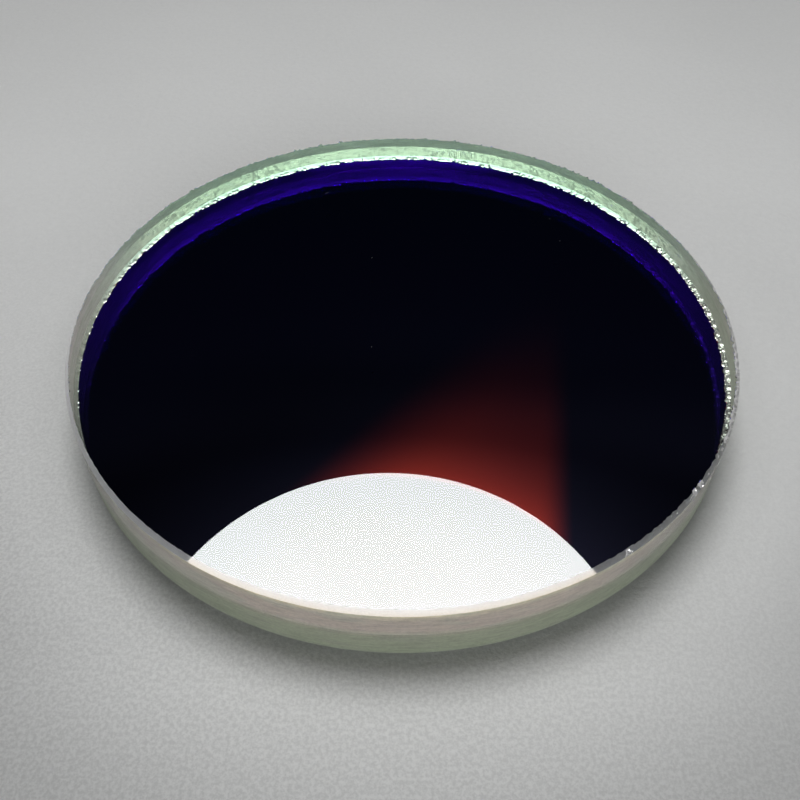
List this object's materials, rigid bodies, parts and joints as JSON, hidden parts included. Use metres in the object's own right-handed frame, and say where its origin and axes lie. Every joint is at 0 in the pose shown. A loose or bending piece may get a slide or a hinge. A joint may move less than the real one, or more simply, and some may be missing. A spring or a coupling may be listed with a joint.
{
  "type": "optical filter",
  "caption": "Round optical filter of glass plates cemented face to face, with a dark mirror-like coating between them and a ground, bevelled edge.",
  "frame": {"origin": "centre of the underside, on the disc's axis", "axes": "+Z is the disc's axis and points out of the front face; +X points at the side of the edge with the most chips"},
  "size_m": [0.025, 0.025, 0.0026],
  "materials": {
    "front_glass": "polished face over a dark mirror coating, ground edge",
    "rear_glass": "polished face, ground edge"
  },
  "bodies": {
    "root": {"front_plate": "front_glass", "rear_plate": "rear_glass"}
  },
  "joints": []
}
